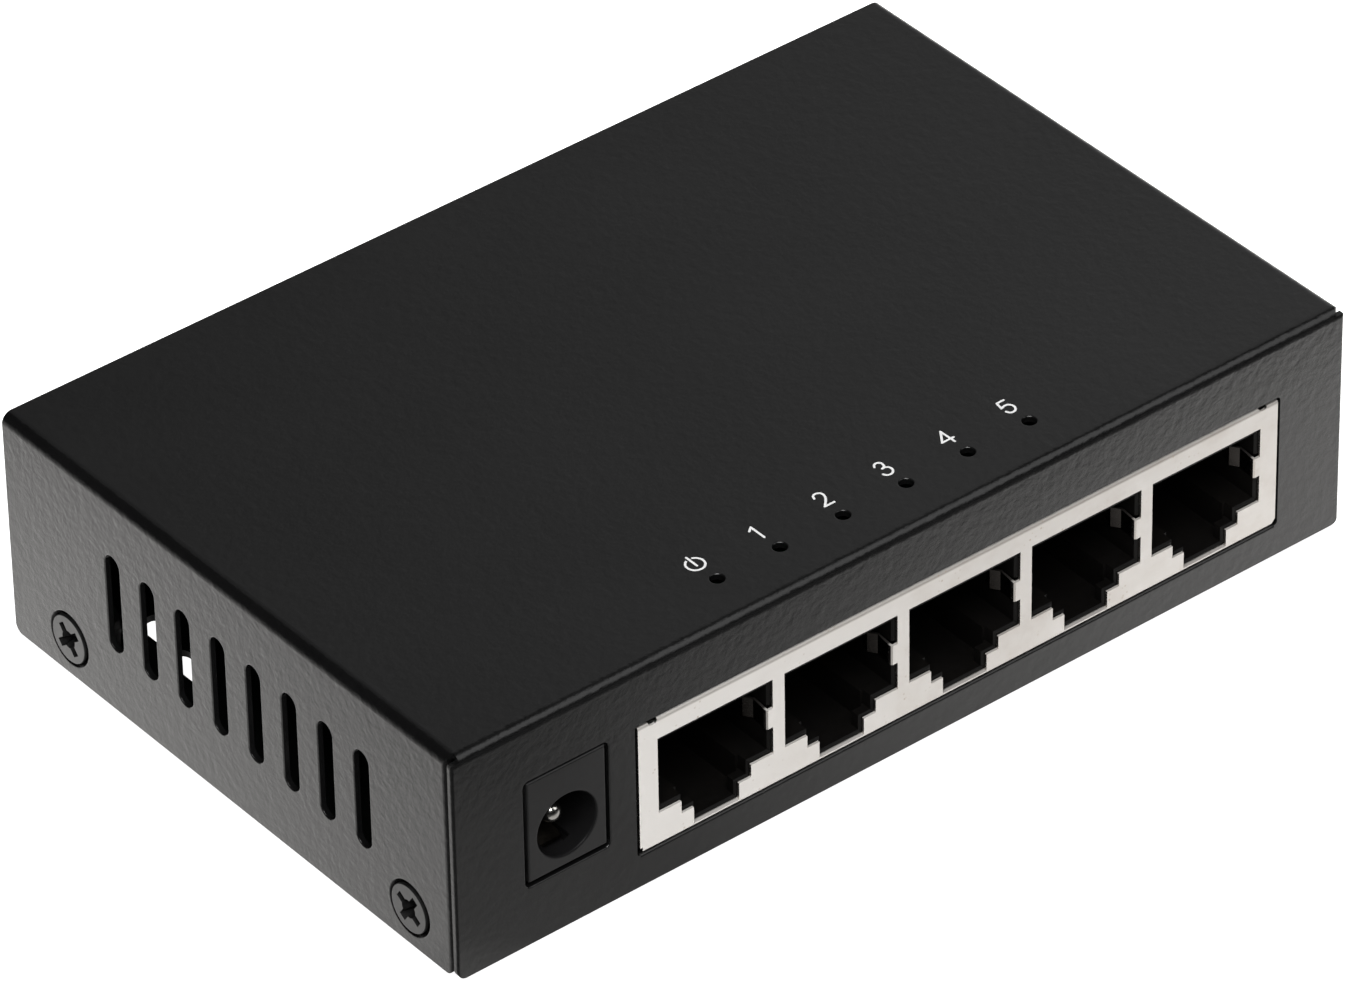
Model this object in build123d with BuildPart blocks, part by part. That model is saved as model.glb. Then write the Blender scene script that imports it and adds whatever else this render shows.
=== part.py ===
from build123d import *
import os

os.makedirs("parts", exist_ok=True)

# ---------------------------------------------------------------------------
# Five-port desktop network switch.
# +X runs right along the port face, the port face looks along -Y, +Z is up.
# The origin is the centre of the footprint, on the plane the feet stand on.
# All sizes are millimetres.
# ---------------------------------------------------------------------------

# ---- case -----------------------------------------------------------------
W = 100.2  # outside width of the cover
D = 63.8  # outside depth of the cover
FOOT_PROUD = 1.0  # how far the feet stand below the case
Z0 = FOOT_PROUD  # lower edge of the cover
H = 23.8  # height of the cover
ZT = Z0 + H  # outside of the top
T = 0.6  # sheet thickness of the cover
R_BEND = 1.1  # outside bend radius of the cover
R_IN = R_BEND - T
YF = -D / 2  # outside of the front flange
YB = D / 2  # rear cut edge of the cover
XR = W / 2  # outside of the right side
EDGE = 0.15  # softened sheet edges
SIDE_FRONT = -31.08  # front cut edge of the side panels
SIDE_ROUND = 0.50  # rounding of that edge
END_ROUND = 0.28  # rounding of the flange's ends
SILL_ROUND = 0.32  # rounding of the port window's lower edge
RELIEF_X = 49.2  # ends of the front bend
FLANGE_TOP = 23.1  # top of the flange corners, above the lower edge

# ---- side slots -------------------------------------------------------------
SLOT_Y = tuple(16.30 - 5.067 * i for i in range(8))
SLOT_W = 2.05
SLOT_Z = (6.84, 17.16)

# ---- indicator holes --------------------------------------------------------
LED_X = (-17.29, -10.36, -3.33, 3.76, 10.75, 17.77)
LED_Y = -26.75
LED_HOLE = 1.30

# ---- side screws ------------------------------------------------------------
SCREW_Z = Z0 + 3.9
SCREWS = ((23.55, 38.0), (-25.3, 56.0))  # y, turn of the cross
SCREW_HEAD = 4.80
SCREW_RECESS = 5.6
SCREW_PROUD = 0.12
SCREW_SHANK = 2.9

# ---- base tray --------------------------------------------------------------
TB = 0.7  # sheet thickness of the base
BASE_X = 49.25
BASE_FRONT = -31.0
BASE_REAR = 31.7
REAR_TOP = Z0 + 22.8
TAB_OUT = 48.1  # outside face of the screw tabs
TAB_W = 8.0
TAB_TOP = Z0 + 8.4
REAR_X, REAR_Y, REAR_L, REAR_W = 40.93, 23.17, 3.95, 2.43
VENT_X, VENT_Y, VENT_L, VENT_W = 41.95, 16.72, 5.84, 2.35
FOOT_X, FOOT_Y, FOOT_D = 44.6, 27.4, 6.6

# ---- printed circuit board --------------------------------------------------
PCB_T = 1.6
PCB_Z = Z0 + 17.35  # underside
PCB_TOP = PCB_Z + PCB_T
PCB_X = 46.9
PCB_Y = (-30.7, 30.2)
STANDOFFS = ((-28.0, 27.2), (28.0, 27.2), (-38.0, -11.5), (38.0, -10.0))
STANDOFF_D = 5.0

# ---- ganged jack ------------------------------------------------------------
PITCH = 13.97
PORT_X = tuple(-21.85 + PITCH * i for i in range(5))
GANG_X = (-30.28, 42.38)
GANG_Z = (Z0 + 3.75, Z0 + 17.33)
GANG_D = 18.0
TS = 0.25  # shield sheet
OPEN_HALF, OPEN_Z = 6.33, (Z0 + 6.98, Z0 + 15.03)
STEP_HALF, STEP_Z = 3.85, Z0 + 5.65
NOTCH_HALF, NOTCH_Z = 2.50, Z0 + 3.90
FINGER_Z = (9.87, 11.93)
CAV_HALF, CAV_Z, CAV_D = 5.95, (Z0 + 7.40, Z0 + 14.40), 14.0
PIN_PITCH = 1.02
PIN_W = 0.35
PIN_T = 0.30

# ---- power jack -------------------------------------------------------------
JACK_X = (-42.32, -33.86)
JACK_Z = (Z0 + 6.62, Z0 + 17.30)
JACK_D = 14.0
JC_X = -38.05  # axis of the bore and of the pin
BORE_Z = Z0 + 10.86
BORE_R = 3.15
BORE_D = 9.5
PIN_R = 1.0
PIN_TIP = 1.45  # depth of the pin's domed end

MID = (Align.CENTER, Align.CENTER, Align.CENTER)
UP = (Align.CENTER, Align.CENTER, Align.MIN)
DOWN = (Align.CENTER, Align.CENTER, Align.MAX)
FRONT = Plane.XZ.offset(-YF)  # outside of the port face, looking out along -Y


def finish(builder, label):
    """Label one finished piece and write it."""
    builder.part.label = label
    export_step(builder.part, "parts/" + label + ".step")


# ===========================================================================
# Top cover: top, two sides and the front flange, bent from one sheet
# ===========================================================================
with BuildPart() as cover_cavity:
    with BuildSketch(Plane.XY.offset(Z0 - 1.0)):
        with Locations((0, (YF + T + YB + 1.0) / 2)):
            Rectangle(W - 2 * T, YB + 1.0 - YF - T)
    extrude(amount=H - T + 1.0)
    top_loop = cover_cavity.faces().sort_by(Axis.Z)[-1].edges()
    fillet(top_loop.sort_by(Axis.Y)[:-1], R_IN)

with BuildPart() as top_cover:
    with BuildSketch(Plane.XY.offset(Z0)):
        Rectangle(W, D)
    extrude(amount=H)
    top_loop = top_cover.faces().sort_by(Axis.Z)[-1].edges()
    fillet(top_loop.sort_by(Axis.Y)[:-1], R_BEND)
    add(cover_cavity.part, mode=Mode.SUBTRACT)
    # inward dimples under the side screws
    for screw_y, _ in SCREWS:
        for side in (-1, 1):
            wall = Plane(
                origin=(side * (XR - 0.05), screw_y, SCREW_Z),
                x_dir=(0, 1, 0),
                z_dir=(side, 0, 0),
            )
            with Locations(wall):
                Cone(2.35, 3.9, XR - 0.05 - TAB_OUT - 0.02, align=DOWN)
    # corner reliefs, and the open line between the flange and each side
    for side in (-1, 1):
        with BuildSketch(Plane.XY.offset(Z0 + FLANGE_TOP)):
            with Locations((side * (RELIEF_X + 1.0), (YF - 1.0 + SIDE_FRONT) / 2)):
                Rectangle(2.0, SIDE_FRONT - YF + 1.0)
        extrude(amount=5.0, mode=Mode.SUBTRACT)
        with BuildSketch(Plane.XY.offset(Z0 - 1.0)):
            with Locations((side * (RELIEF_X + 1.0), (YF + T + SIDE_FRONT) / 2)):
                Rectangle(2.0, SIDE_FRONT - YF - T)
        extrude(amount=H + 2.0, mode=Mode.SUBTRACT)
    # rounded corners of the flange and of the sides
    corners = top_cover.edges().filter_by(Axis.Y).filter_by_position(
        Axis.Y, YF - 0.01, YF + T + 0.01
    )
    fillet(
        corners.filter_by(lambda e: abs(e.center().X) > XR - 0.01), 0.9
    )
    rear_low = top_cover.edges().filter_by(Axis.X).filter_by(
        lambda e: abs(e.center().X) > XR - T and e.center().Z < Z0 + 0.01
    )
    fillet(rear_low, 0.9)
    # rounded front edges of the sides and rounded ends of the flange
    with BuildSketch(Plane.XY.offset(Z0 - 1.0)):
        for side in (-1, 1):
            with Locations((side * XR, SIDE_FRONT + SIDE_ROUND / 2)):
                Rectangle(2 * SIDE_ROUND, SIDE_ROUND)
            with Locations((side * (XR - SIDE_ROUND), SIDE_FRONT + SIDE_ROUND)):
                Circle(SIDE_ROUND, mode=Mode.SUBTRACT)
    extrude(amount=H + 2.0, mode=Mode.SUBTRACT)
    with BuildSketch(Plane.XY.offset(Z0 - 1.0)):
        for side in (-1, 1):
            with Locations((side * XR, YF)):
                Rectangle(2 * END_ROUND, 2 * END_ROUND)
            with Locations((side * (XR - END_ROUND), YF + END_ROUND)):
                Circle(END_ROUND, mode=Mode.SUBTRACT)
    extrude(amount=H + 2.0, mode=Mode.SUBTRACT)
    # window for the five ports
    with BuildSketch(FRONT):
        with Locations((6.025, Z0 + 10.45)):
            RectangleRounded(73.25, 14.10, 0.35)
    extrude(amount=-2.0, mode=Mode.SUBTRACT)
    # window for the power jack
    with BuildSketch(FRONT):
        with Locations((-38.05, Z0 + 11.825)):
            RectangleRounded(9.20, 11.35, 0.60)
    extrude(amount=-2.0, mode=Mode.SUBTRACT)
    # cooling slots, the same on both sides
    with BuildSketch(Plane.YZ.offset(-XR - 1.0)):
        with Locations(*[(y, Z0 + sum(SLOT_Z) / 2) for y in SLOT_Y]):
            SlotOverall(SLOT_Z[1] - SLOT_Z[0], SLOT_W, rotation=90)
    extrude(amount=W + 2.0, mode=Mode.SUBTRACT)
    # indicator holes
    with BuildSketch(Plane.XY.offset(ZT)):
        with Locations(*[(x, LED_Y) for x in LED_X]):
            Circle(LED_HOLE / 2)
    extrude(amount=-2.0, mode=Mode.SUBTRACT)
    # countersunk recesses and clearance holes for the side screws
    for screw_y, _ in SCREWS:
        for side in (-1, 1):
            wall = Plane(
                origin=(side * XR, screw_y, SCREW_Z),
                x_dir=(0, 1, 0),
                z_dir=(side, 0, 0),
            )
            with Locations(wall):
                Cone(1.65, SCREW_RECESS / 2, 1.30, align=DOWN, mode=Mode.SUBTRACT)
            with Locations(wall):
                Cylinder(1.65, 3.0, align=DOWN, mode=Mode.SUBTRACT)
    # softened outside edges of the cut-outs
    left = top_cover.faces().filter_by(Plane.YZ).sort_by(Axis.X)[0]
    right = top_cover.faces().filter_by(Plane.YZ).sort_by(Axis.X)[-1]
    front = top_cover.faces().filter_by(Plane.XZ).sort_by(Axis.Y)[0]
    top = top_cover.faces().filter_by(Plane.XY).sort_by(Axis.Z)[-1]
    holes = ShapeList()
    for face in (left, right, front, top):
        for wire in face.inner_wires():
            if wire.bounding_box().size.X < 60:
                holes += wire.edges()
    fillet(holes, EDGE)
    # rolled lower edge of the port window
    with BuildSketch(Plane.YZ.offset(-30.25)):
        with Locations((YF, Z0 + 3.40)):
            Rectangle(2 * SILL_ROUND, 2 * SILL_ROUND)
        with Locations((YF + SILL_ROUND, Z0 + 3.40 - SILL_ROUND)):
            Circle(SILL_ROUND, mode=Mode.SUBTRACT)
    extrude(amount=72.55, mode=Mode.SUBTRACT)
finish(top_cover, "top_cover")

# ===========================================================================
# Base tray: floor, rear wall and four screw tabs
# ===========================================================================
with BuildPart() as base_tray:
    with BuildSketch(Plane.XY.offset(Z0)):
        with Locations((0, (BASE_FRONT + BASE_REAR) / 2)):
            Rectangle(2 * BASE_X, BASE_REAR - BASE_FRONT)
    extrude(amount=REAR_TOP - Z0)
    fillet(
        base_tray.edges()
        .filter_by(Axis.X)
        .group_by(Axis.Z)[0]
        .sort_by(Axis.Y)[-1],
        1.2,
    )
    with BuildSketch(Plane.XY.offset(Z0 + TB)):
        with Locations((0, (BASE_FRONT - 5 + BASE_REAR - TB) / 2)):
            Rectangle(2 * BASE_X + 4, BASE_REAR - TB - BASE_FRONT + 5)
    extrude(amount=40, mode=Mode.SUBTRACT)
    inner_bend = base_tray.edges().filter_by(Axis.X).filter_by(
        lambda e: abs(e.center().Z - Z0 - TB) < 0.01
        and abs(e.center().Y - BASE_REAR + TB) < 0.01
    )
    fillet(inner_bend, 0.5)
    # the floor is cut back outside each tab
    for screw_y, _ in SCREWS:
        for side in (-1, 1):
            with BuildSketch(Plane.XY.offset(Z0 - 1)):
                with Locations((side * (TAB_OUT + 2.0), screw_y)):
                    Rectangle(4.0, TAB_W + 1.0)
            extrude(amount=5, mode=Mode.SUBTRACT)
            # tab, bent up from the floor
            with BuildSketch(Plane.YZ.offset(side * (TAB_OUT - TB / 2))):
                with Locations((screw_y, (Z0 + TAB_TOP) / 2)):
                    Rectangle(TAB_W, TAB_TOP - Z0)
            extrude(amount=TB / 2, both=True)
            # drawn collar that carries the thread
            with Locations(
                Plane(
                    origin=(side * (TAB_OUT - 0.2), screw_y, SCREW_Z),
                    x_dir=(0, 1, 0),
                    z_dir=(side, 0, 0),
                )
            ):
                Cylinder(2.1, 1.9, align=DOWN)
    tab_corners = base_tray.edges().filter_by(Axis.X).filter_by(
        lambda e: abs(e.center().Z - TAB_TOP) < 0.01
    )
    fillet(tab_corners, 1.5)
    for screw_y, _ in SCREWS:
        with Locations(
            Plane(origin=(0, screw_y, SCREW_Z), x_dir=(0, 1, 0), z_dir=(1, 0, 0))
        ):
            Cylinder(1.475, 110, mode=Mode.SUBTRACT)
    # two small rounded openings near the rear of the floor
    with BuildSketch(Plane.XY.offset(Z0 - 1)):
        with Locations((REAR_X, REAR_Y), (-REAR_X, REAR_Y)):
            RectangleRounded(REAR_W, REAR_L, 0.6)
    extrude(amount=3, mode=Mode.SUBTRACT)
    # short cooling slots in the floor
    with BuildSketch(Plane.XY.offset(Z0 - 1)):
        with Locations(
            *[(sx * VENT_X, sy * VENT_Y) for sx in (-1, 1) for sy in (-1, 1)]
        ):
            SlotOverall(VENT_L, VENT_W, rotation=90)
    extrude(amount=3, mode=Mode.SUBTRACT)
    # upper corners of the rear wall
    rear_corners = base_tray.edges().filter_by(Axis.Y).filter_by(
        lambda e: abs(e.center().Z - REAR_TOP) < 0.01
    )
    fillet(rear_corners, 1.2)
finish(base_tray, "base_tray")

# ===========================================================================
# Countersunk side screws
# ===========================================================================
HEAD_LAND = 0.30
HEAD_CONE = 1.02
SHANK_L = 4.6
with BuildPart() as cover_screws:
    for screw_y, turn in SCREWS:
        for side in (-1, 1):
            face = Plane(
                origin=(side * (XR + SCREW_PROUD), screw_y, SCREW_Z),
                x_dir=(0, 1, 0),
                z_dir=(side, 0, 0),
            )
            with Locations(face):
                Cylinder(SCREW_HEAD / 2, HEAD_LAND, align=DOWN)
            with Locations(face.offset(-HEAD_LAND)):
                Cone(SCREW_SHANK / 2, SCREW_HEAD / 2, HEAD_CONE, align=DOWN)
            with Locations(face.offset(-HEAD_LAND - HEAD_CONE)):
                Cylinder(SCREW_SHANK / 2, SHANK_L - HEAD_CONE, align=DOWN)
    rims = cover_screws.edges().filter_by(GeomType.CIRCLE).filter_by(
        lambda e: abs(abs(e.arc_center.X) - XR - SCREW_PROUD) < 0.01
    )
    fillet(rims, 0.12)
    for screw_y, turn in SCREWS:
        for side in (-1, 1):
            face = Plane(
                origin=(side * (XR + SCREW_PROUD), screw_y, SCREW_Z),
                x_dir=(0, 1, 0),
                z_dir=(side, 0, 0),
            )
            with BuildSketch(face):
                Rectangle(3.35, 0.80, rotation=side * -turn)
                Rectangle(0.80, 3.35, rotation=side * -turn)
                Circle(0.92)
            extrude(amount=-1.1, taper=14, mode=Mode.SUBTRACT)
finish(cover_screws, "cover_screws")

# ===========================================================================
# Rubber feet
# ===========================================================================
with BuildPart() as rubber_feet:
    with BuildSketch():
        with GridLocations(2 * FOOT_X, 2 * FOOT_Y, 2, 2):
            Circle(FOOT_D / 2)
    extrude(amount=FOOT_PROUD)
    fillet(rubber_feet.edges().group_by(Axis.Z)[0], 0.45)
finish(rubber_feet, "rubber_feet")

# ===========================================================================
# Printed circuit board, carried face-down: the connectors hang below it
# ===========================================================================
TAIL_ROW = (14.65, 16.40)  # depth of the two rows of contact tails
SHIELD_PEG_V = 8.0
TERMINALS = ((JC_X, YF + 13.0), (JC_X, YF + 10.0), (JC_X + 3.2, YF + 11.5))
with BuildPart() as pcb:
    with BuildSketch(Plane.XY.offset(PCB_Z)):
        with Locations((0, sum(PCB_Y) / 2)):
            RectangleRounded(2 * PCB_X, PCB_Y[1] - PCB_Y[0], 1.5)
        with Locations(*STANDOFFS):
            Circle(1.6, mode=Mode.SUBTRACT)
        for px in PORT_X:
            for k in range(8):
                with Locations(
                    (px + (k - 3.5) * PIN_PITCH, YF + TAIL_ROW[k % 2] + PIN_T / 2)
                ):
                    Circle(0.38, mode=Mode.SUBTRACT)
        with Locations(*TERMINALS):
            Circle(0.9, mode=Mode.SUBTRACT)
        with Locations(*[(x, YF + SHIELD_PEG_V) for x in (GANG_X[0] + 0.12, GANG_X[1] - 0.12)]):
            Circle(1.1, mode=Mode.SUBTRACT)
    extrude(amount=PCB_T)
finish(pcb, "pcb")

with BuildPart() as pcb_standoffs:
    with BuildSketch(Plane.XY.offset(Z0 + TB)):
        with Locations(*STANDOFFS):
            RegularPolygon(STANDOFF_D / 2, 6, major_radius=False)
    extrude(amount=PCB_Z - Z0 - TB)
    with BuildSketch(Plane.XY.offset(PCB_Z)):
        with Locations(*STANDOFFS):
            Circle(1.5)
    extrude(amount=-6, mode=Mode.SUBTRACT)
finish(pcb_standoffs, "pcb_standoffs")

with BuildPart() as pcb_screws:
    with BuildSketch(Plane.XY.offset(PCB_TOP)):
        with Locations(*STANDOFFS):
            Circle(2.75)
    extrude(amount=1.9)
    fillet(pcb_screws.edges().group_by(Axis.Z)[-1], 0.8)
    with BuildSketch(Plane.XY.offset(PCB_TOP)):
        with Locations(*STANDOFFS):
            Circle(1.45)
    extrude(amount=-6.6)
    with BuildSketch(Plane.XY.offset(PCB_TOP + 1.9)):
        with Locations(*STANDOFFS):
            Rectangle(2.8, 0.7)
            Rectangle(0.7, 2.8)
    extrude(amount=-1.2, mode=Mode.SUBTRACT)
finish(pcb_screws, "pcb_screws")

# ===========================================================================
# Ganged five-port jack: front shell, rear shell, housing, contacts
# ===========================================================================
GW = GANG_X[1] - GANG_X[0]
GXC = (GANG_X[0] + GANG_X[1]) / 2
GH = GANG_Z[1] - GANG_Z[0]
GZC = (GANG_Z[0] + GANG_Z[1]) / 2
FOLD_X = (-28.16, 40.13)

with BuildPart() as front_shell:
    with BuildSketch(FRONT):
        with Locations((GXC, GZC)):
            Rectangle(GW, GH)
    extrude(amount=-GANG_D)
    # folded front edges
    front_loop = front_shell.faces().sort_by(Axis.Y)[0].edges()
    fillet(front_loop.sort_by(Axis.Z)[-1], 0.45)
    # notched upper corners, and the small cuts in the lower corners
    with BuildSketch(FRONT):
        with Locations(((GANG_X[0] - 1 + FOLD_X[0]) / 2, GANG_Z[1] + 0.82)):
            Rectangle(FOLD_X[0] - GANG_X[0] + 1, 2.0)
        with Locations(((GANG_X[1] + 1 + FOLD_X[1]) / 2, GANG_Z[1] + 0.82)):
            Rectangle(GANG_X[1] + 1 - FOLD_X[1], 2.0)
        with Locations((FOLD_X[0] - 0.48, Z0 + 17.20), (FOLD_X[1] + 0.52, Z0 + 17.32)):
            SlotOverall(0.97, 0.80)
        with Locations((GANG_X[0] + 0.10, GANG_Z[0] + 0.12)):
            Rectangle(0.36, 0.52)
        with BuildLine():
            Polyline(
                (GANG_X[1] - 0.48, GANG_Z[0] - 0.1),
                (GANG_X[1] + 0.1, GANG_Z[0] + 0.55),
                (GANG_X[1] + 0.1, GANG_Z[0] - 0.1),
                close=True,
            )
        make_face()
    extrude(amount=-1.2, mode=Mode.SUBTRACT)
    # hollow, open at the rear
    with BuildSketch(FRONT.offset(-TS)):
        with Locations((GXC, GZC)):
            Rectangle(GW - 2 * TS, GH - 2 * TS)
    extrude(amount=-GANG_D, mode=Mode.SUBTRACT)
    # stepped opening of each port
    with BuildSketch(FRONT):
        for px in PORT_X:
            with Locations((px, (OPEN_Z[0] + OPEN_Z[1]) / 2)):
                Rectangle(2 * OPEN_HALF, OPEN_Z[1] - OPEN_Z[0])
            with Locations((px, (STEP_Z + OPEN_Z[0]) / 2)):
                Rectangle(2 * STEP_HALF, OPEN_Z[0] - STEP_Z)
            with Locations((px, (NOTCH_Z + STEP_Z) / 2)):
                Rectangle(2 * NOTCH_HALF, STEP_Z - NOTCH_Z)
    extrude(amount=-2 * TS, mode=Mode.SUBTRACT)
    # the top is open where the contact tails rise
    with BuildSketch(Plane.XY.offset(GANG_Z[1] + 0.1)):
        for px in PORT_X:
            with Locations((px, YF + 15.6)):
                Rectangle(9.4, 3.6)
    extrude(amount=-1.0, mode=Mode.SUBTRACT)
    # spring fingers at both sides of each port, folded in from the front
    for px in PORT_X:
        for side, tab, back in ((1, 5.66, 5.86), (-1, 6.20, 6.02)):
            with BuildSketch(Plane.XY.offset(Z0 + FINGER_Z[0])):
                with BuildLine():
                    Polyline(
                        (px + side * 6.62, YF),
                        (px + side * (tab + 0.14), YF),
                        (px + side * tab, YF + 0.12),
                        (px + side * (tab + 0.02), YF + 0.55),
                        (px + side * back, YF + 2.12),
                        (px + side * 5.32, YF + 2.92),
                        (px + side * 5.32, YF + 3.10),
                        (px + side * 5.86, YF + 3.95),
                        (px + side * 6.12, YF + 3.95),
                        (px + side * 5.58, YF + 3.00),
                        (px + side * (back + 0.25), YF + 2.22),
                        (px + side * (tab + 0.27), YF + 0.60),
                        (px + side * (tab + 0.25), YF + TS),
                        (px + side * 6.62, YF + TS),
                        close=True,
                    )
                make_face()
            extrude(amount=FINGER_Z[1] - FINGER_Z[0])
    # pegs that solder into the board
    for gx in (GANG_X[0] + TS / 2, GANG_X[1] - TS / 2):
        with BuildSketch(Plane.YZ.offset(gx - TS / 2)):
            with Locations((YF + SHIELD_PEG_V, GANG_Z[1] + 1.0)):
                Rectangle(1.4, 2.4)
        extrude(amount=TS)
finish(front_shell, "rj45_front_shell")

REAR_Y0 = YF + GANG_D + 0.02
with BuildPart() as rear_shell:
    with BuildSketch(Plane.XZ.offset(-REAR_Y0)):
        with Locations((GXC, GZC)):
            Rectangle(GW + 2 * TS + 0.1, GH)
    extrude(amount=-TS)
    for side, gx in ((-1, GANG_X[0]), (1, GANG_X[1])):
        with BuildSketch(Plane.YZ.offset(gx + side * (0.05 + TS / 2))):
            with Locations((REAR_Y0 + TS - 2.5, GZC)):
                Rectangle(5.0, GH - 2.4)
        extrude(amount=TS / 2, both=True)
    fillet(
        rear_shell.edges().filter_by(Axis.Z).filter_by(
            lambda e: e.center().Y > REAR_Y0 + TS - 0.01
        ),
        0.2,
    )
finish(rear_shell, "rj45_rear_shell")

HX = (GANG_X[0] + TS + 0.05, GANG_X[1] - TS - 0.05)
HZ = (GANG_Z[0] + TS + 0.05, GANG_Z[1] - TS - 0.05)
HY0 = YF + TS + 0.05
HY1 = YF + GANG_D - 0.1
with BuildPart() as rj45_housing:
    with BuildSketch(Plane.XZ.offset(-HY0)):
        with Locations(((HX[0] + HX[1]) / 2, (HZ[0] + HZ[1]) / 2)):
            Rectangle(HX[1] - HX[0], HZ[1] - HZ[0])
    extrude(amount=-(HY1 - HY0))
    # plug cavities, with the stepped gate and latch channel below
    with BuildSketch(Plane.XZ.offset(-HY0)):
        for px in PORT_X:
            with Locations((px, sum(CAV_Z) / 2)):
                Rectangle(2 * CAV_HALF, CAV_Z[1] - CAV_Z[0])
    extrude(amount=-(CAV_D - TS - 0.05), mode=Mode.SUBTRACT)
    with BuildSketch(Plane.XZ.offset(-HY0)):
        for px in PORT_X:
            with Locations((px, Z0 + 6.7)):
                Rectangle(7.2, 1.6)
            with Locations((px, Z0 + 5.2)):
                Rectangle(4.4, 1.7)
    extrude(amount=-1.2, mode=Mode.SUBTRACT)
    with BuildSketch(Plane.XZ.offset(-HY0 - 0.0)):
        for px in PORT_X:
            with Locations((px, Z0 + 5.95)):
                Rectangle(6.6, 3.2)
    latch = extrude(amount=-9.2, mode=Mode.PRIVATE)
    with BuildSketch(Plane.XZ.offset(-HY0)):
        with Locations((GXC, Z0 + 5.85)):
            Rectangle(GW + 4, 8)
    gate = extrude(amount=-1.0, mode=Mode.PRIVATE)
    add(latch - gate, mode=Mode.SUBTRACT)
    # lead-in around each cavity mouth
    mouth = rj45_housing.faces().filter_by(Plane.XZ).sort_by(Axis.Y)[0]
    lead = ShapeList()
    for wire in mouth.inner_wires():
        lead += wire.edges()
    chamfer(lead, 0.15)
    # pockets in the cavity walls for the shield's fingers
    with BuildSketch(Plane.XZ.offset(-HY0)):
        for px in PORT_X:
            with Locations((px, Z0 + sum(FINGER_Z) / 2)):
                Rectangle(13.10, FINGER_Z[1] - FINGER_Z[0] + 0.5)
    extrude(amount=-4.1, mode=Mode.SUBTRACT)
    # one groove over each contact, and room for its tail
    for px in PORT_X:
        for k in range(8):
            cx = px + (k - 3.5) * PIN_PITCH
            with BuildSketch(Plane.YZ.offset(cx - 0.3)):
                with Locations((YF + 7.9, Z0 + 15.42)):
                    Rectangle(12.2, 2.14)
            extrude(amount=0.6, mode=Mode.SUBTRACT)
    # bay for the tail carriers
    with BuildSketch(Plane.XZ.offset(-(YF + 13.95))):
        for px in PORT_X:
            with Locations((px, Z0 + 13.4)):
                Rectangle(11.2, 8.8)
    extrude(amount=-6, mode=Mode.SUBTRACT)
    # the contact bay is open above the contacts' front ends and tails
    with BuildSketch(Plane.XZ.offset(-(YF + 13.0))):
        for px in PORT_X:
            with Locations((px, Z0 + 16.6)):
                Rectangle(9.0, 2.4)
    extrude(amount=-6, mode=Mode.SUBTRACT)
finish(rj45_housing, "rj45_housing")

with BuildPart() as carriers:
    with BuildSketch(Plane.XZ.offset(-(YF + 14.10))):
        for px in PORT_X:
            with Locations((px, Z0 + 13.1)):
                Rectangle(10.8, 7.6)
    extrude(amount=-3.4)
    for px in PORT_X:
        for k in range(8):
            cx = px + (k - 3.5) * PIN_PITCH
            v1 = TAIL_ROW[k % 2] + PIN_T + 0.1
            with BuildSketch(Plane.YZ.offset(cx - 0.22)):
                with Locations((YF + (14.0 + v1) / 2, Z0 + 16.5)):
                    Rectangle(v1 - 14.0, 1.0)
            extrude(amount=0.44, mode=Mode.SUBTRACT)
finish(carriers, "rj45_contact_carriers")

with BuildPart() as tails:
    for px in PORT_X:
        for k in range(8):
            cx = px + (k - 3.5) * PIN_PITCH
            v1 = TAIL_ROW[k % 2]
            with BuildSketch(Plane.YZ.offset(cx - PIN_W / 2)):
                with BuildLine():
                    Polyline(
                        (YF + 2.0, Z0 + 15.77),
                        (YF + 2.0, Z0 + 16.35),
                        (YF + v1, Z0 + 16.35),
                        (YF + v1, PCB_TOP + 0.6),
                        (YF + v1 + PIN_T, PCB_TOP + 0.6),
                        (YF + v1 + PIN_T, Z0 + 16.05),
                        (YF + 2.0 + PIN_T, Z0 + 16.05),
                        (YF + 2.0 + PIN_T, Z0 + 15.77),
                        close=True,
                    )
                make_face()
            extrude(amount=PIN_W)
finish(tails, "rj45_contact_tails")

for number, px in enumerate(PORT_X, start=1):
    with BuildPart() as contacts:
        for k in range(8):
            cx = px + (k - 3.5) * PIN_PITCH
            with BuildSketch(Plane.YZ.offset(cx - PIN_W / 2)):
                with BuildLine():
                    Polyline(
                        (YF + 2.00, Z0 + 15.35),
                        (YF + 2.00, Z0 + 15.65),
                        (YF + 2.55, Z0 + 15.65),
                        (YF + 9.65, Z0 + 11.80),
                        (YF + 11.05, Z0 + 11.55),
                        (YF + 11.00, Z0 + 11.26),
                        (YF + 9.55, Z0 + 11.52),
                        (YF + 2.45, Z0 + 15.35),
                        close=True,
                    )
                make_face()
            extrude(amount=PIN_W)
    finish(contacts, "port_%d_contacts" % number)

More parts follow.
